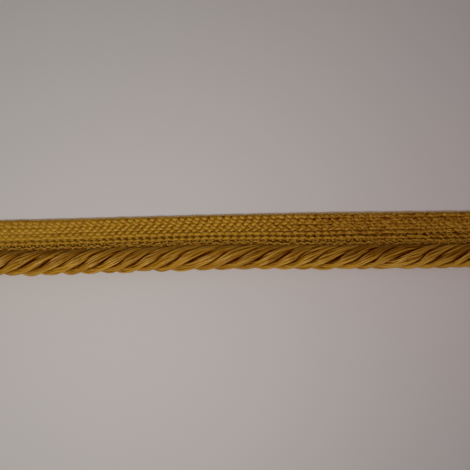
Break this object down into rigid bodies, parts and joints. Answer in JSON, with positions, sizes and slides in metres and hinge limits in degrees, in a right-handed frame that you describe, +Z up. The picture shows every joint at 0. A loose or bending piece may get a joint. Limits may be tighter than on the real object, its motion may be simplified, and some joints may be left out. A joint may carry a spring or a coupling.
{
  "type": "flanged piping cord",
  "caption": "Cut length of twisted satin upholstery cord with a knitted sewing tape bound along one side, lying nearly straight with the tape flat.",
  "frame": {"origin": "on the surface the piece lies on, at the middle of its length and of its overall width", "axes": "+X along the cord, +Y from the cord towards the tape's free edge, +Z up"},
  "size_m": [0.18, 0.0176, 0.0077],
  "materials": {
    "cord_yarn": "satin viscose yarn, old gold",
    "tape_knit": "knitted satin viscose yarn, old gold",
    "binding_yarn": "slightly fuzzy binding yarn, old gold"
  },
  "bodies": {
    "root": {"twisted_cord": "cord_yarn", "sewing_tape": "tape_knit", "binding_stitches": "binding_yarn"}
  },
  "joints": []
}
